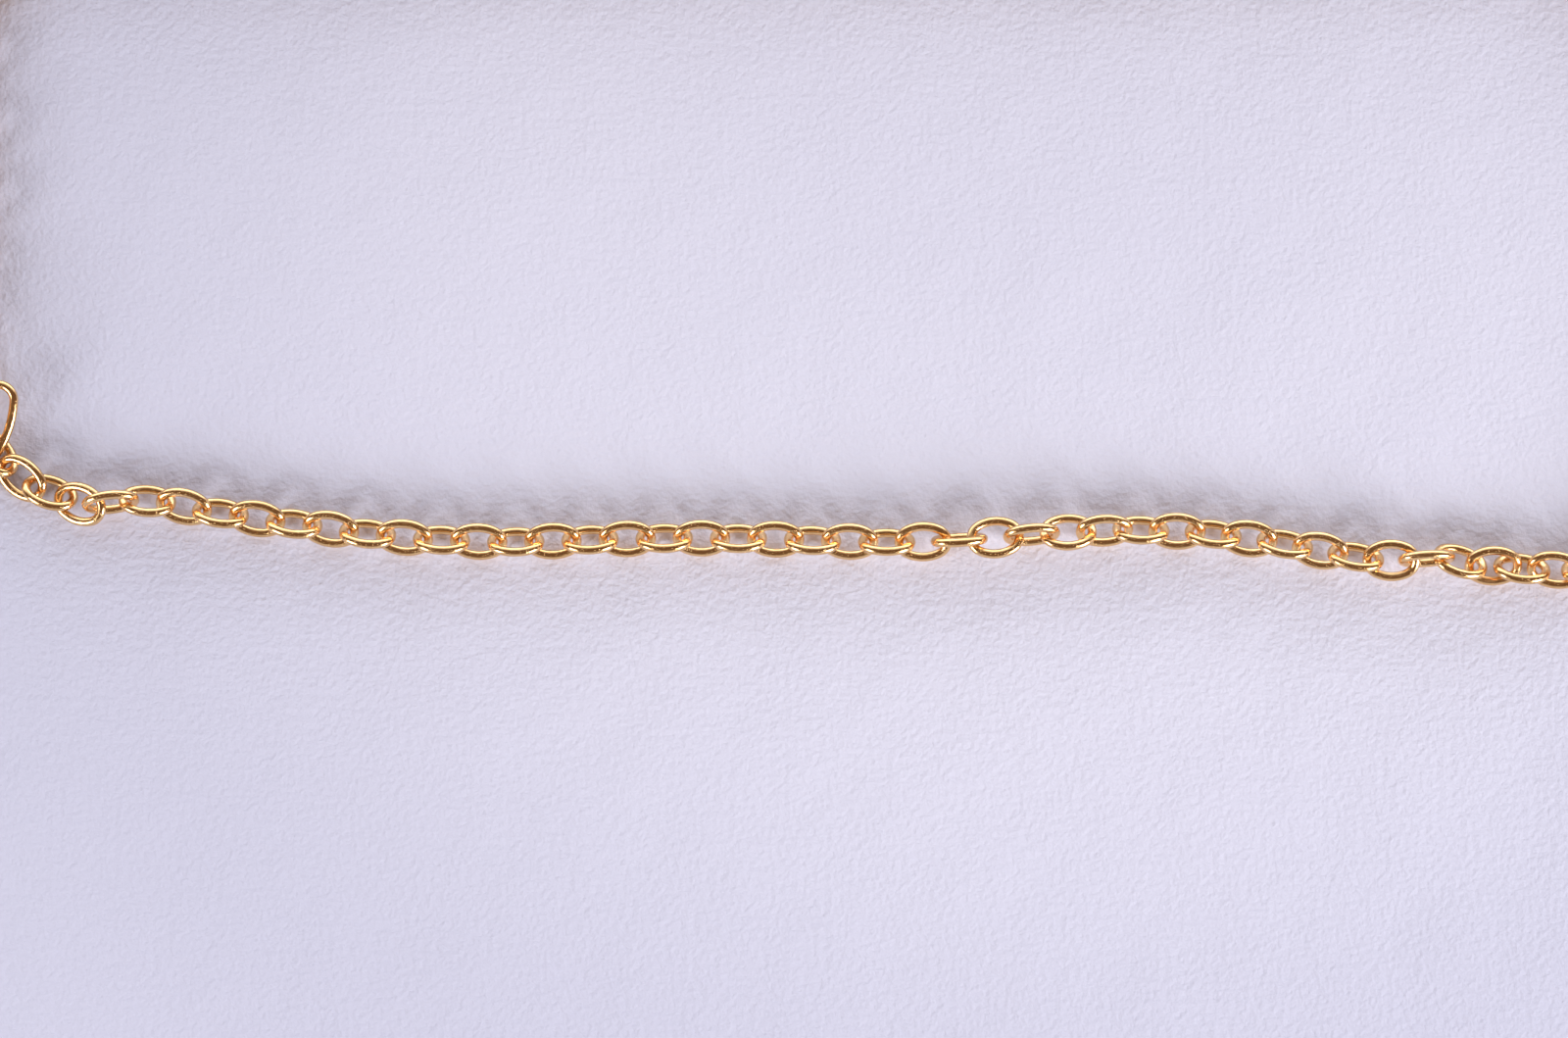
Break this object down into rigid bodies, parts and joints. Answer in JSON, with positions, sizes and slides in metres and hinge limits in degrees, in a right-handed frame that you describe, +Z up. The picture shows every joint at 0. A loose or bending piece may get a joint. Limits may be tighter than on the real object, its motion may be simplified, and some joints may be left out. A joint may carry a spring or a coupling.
{
  "type": "chain anklet",
  "caption": "Fine cable-chain anklet of oval round-wire links, closed through a long oval end ring and a plain hoop clasp, lying in its whole loop.",
  "frame": {"origin": "centre of the bounding box at the surface the anklet lies on", "axes": "+X along the near side of the loop, the longest way; +Y away from the near side; +Z up, out of the surface"},
  "size_m": [0.101, 0.0394, 0.003],
  "materials": {
    "gold_chain": "polished yellow gold tone",
    "gold_ring": "polished yellow gold tone",
    "gold_clasp": "polished yellow gold tone"
  },
  "bodies": {
    "root": {"chain_front": "gold_chain", "chain_back": "gold_chain", "end_ring": "gold_ring", "clasp": "gold_clasp"}
  },
  "joints": []
}
